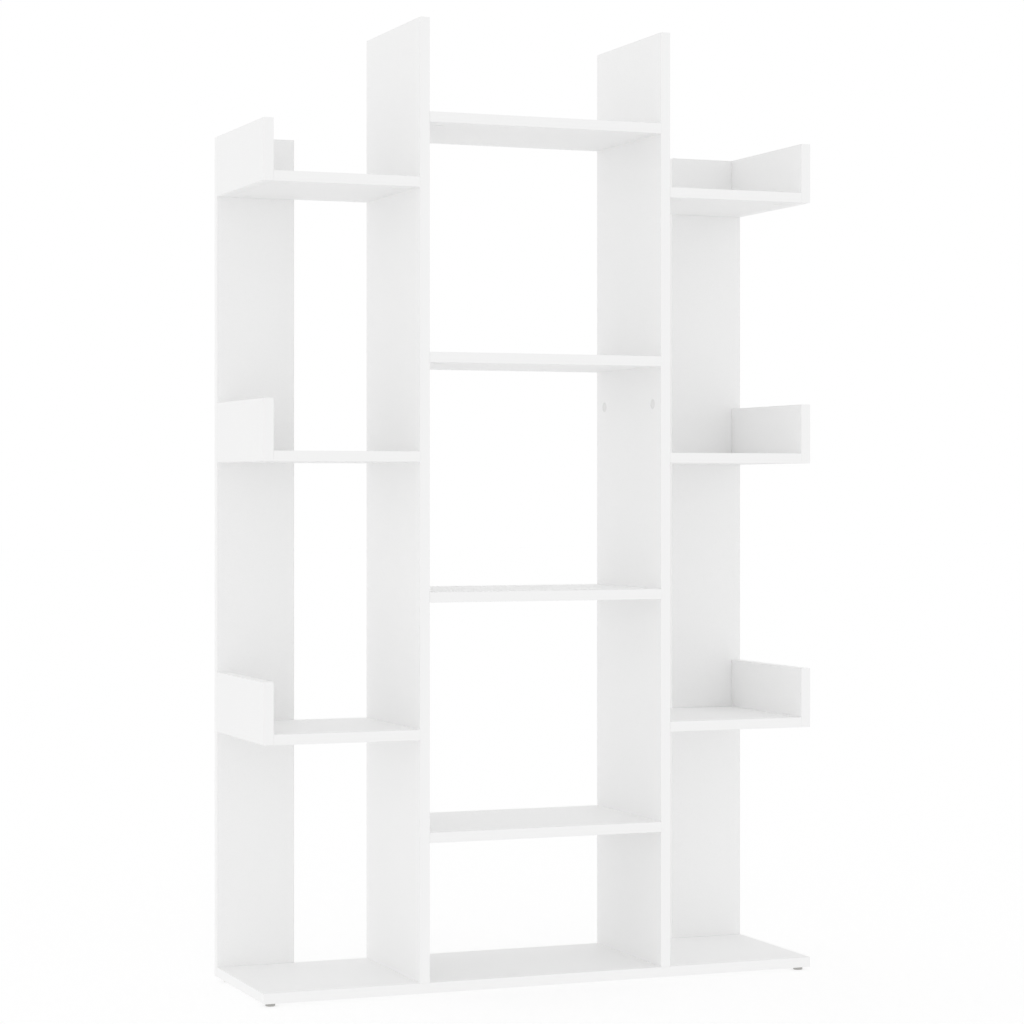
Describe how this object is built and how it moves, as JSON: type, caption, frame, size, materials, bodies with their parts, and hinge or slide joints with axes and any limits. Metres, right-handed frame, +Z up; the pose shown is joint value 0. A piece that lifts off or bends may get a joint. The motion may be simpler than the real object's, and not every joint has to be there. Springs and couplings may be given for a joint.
{
  "type": "open bookcase",
  "caption": "Tall white open bookcase: a shelved centre column on a wide base board, with staggered tray shelves on both sides, short end panels and narrow back strips.",
  "frame": {"origin": "on the floor under the middle of the whole bookcase", "axes": "+Z up, the front faces -Y, +X to the right seen from the front"},
  "size_m": [0.86, 0.255, 1.405],
  "materials": {
    "white_board": "white melamine-faced chipboard with banded edges, satin",
    "white_cap": "matte",
    "glide_plastic": "matte",
    "zinc_steel": "bright zinc plating",
    "dowel_beech": "raw beech"
  },
  "bodies": {
    "root": {"base_board": "white_board", "left_upright": "white_board", "right_upright": "white_board", "centre_shelf_1": "white_board", "centre_shelf_2": "white_board", "centre_shelf_3": "white_board", "centre_shelf_4": "white_board", "left_shelf_1": "white_board", "left_shelf_2": "white_board", "left_shelf_3": "white_board", "left_end_1": "white_board", "left_end_2": "white_board", "left_end_3": "white_board", "left_back_strip": "white_board", "right_shelf_1": "white_board", "right_shelf_2": "white_board", "right_shelf_3": "white_board", "right_end_1": "white_board", "right_end_2": "white_board", "right_end_3": "white_board", "right_back_strip": "white_board", "front_left_glide": "glide_plastic", "front_right_glide": "glide_plastic", "rear_left_glide": "glide_plastic", "rear_right_glide": "glide_plastic", "centre_cam_bolts": "zinc_steel", "left_cam_bolts": "zinc_steel", "right_cam_bolts": "zinc_steel", "centre_cams": "zinc_steel", "left_cams": "zinc_steel", "right_cams": "zinc_steel", "centre_cam_caps": "white_cap", "left_cam_caps": "white_cap", "right_cam_caps": "white_cap", "centre_dowels": "dowel_beech", "left_dowels": "dowel_beech", "right_dowels": "dowel_beech", "base_screws": "zinc_steel", "upright_dowels": "dowel_beech", "glide_nails": "zinc_steel", "left_back_screws": "zinc_steel", "left_upright_plugs": "white_cap", "right_back_screws": "zinc_steel", "right_upright_plugs": "white_cap"}
  },
  "joints": []
}
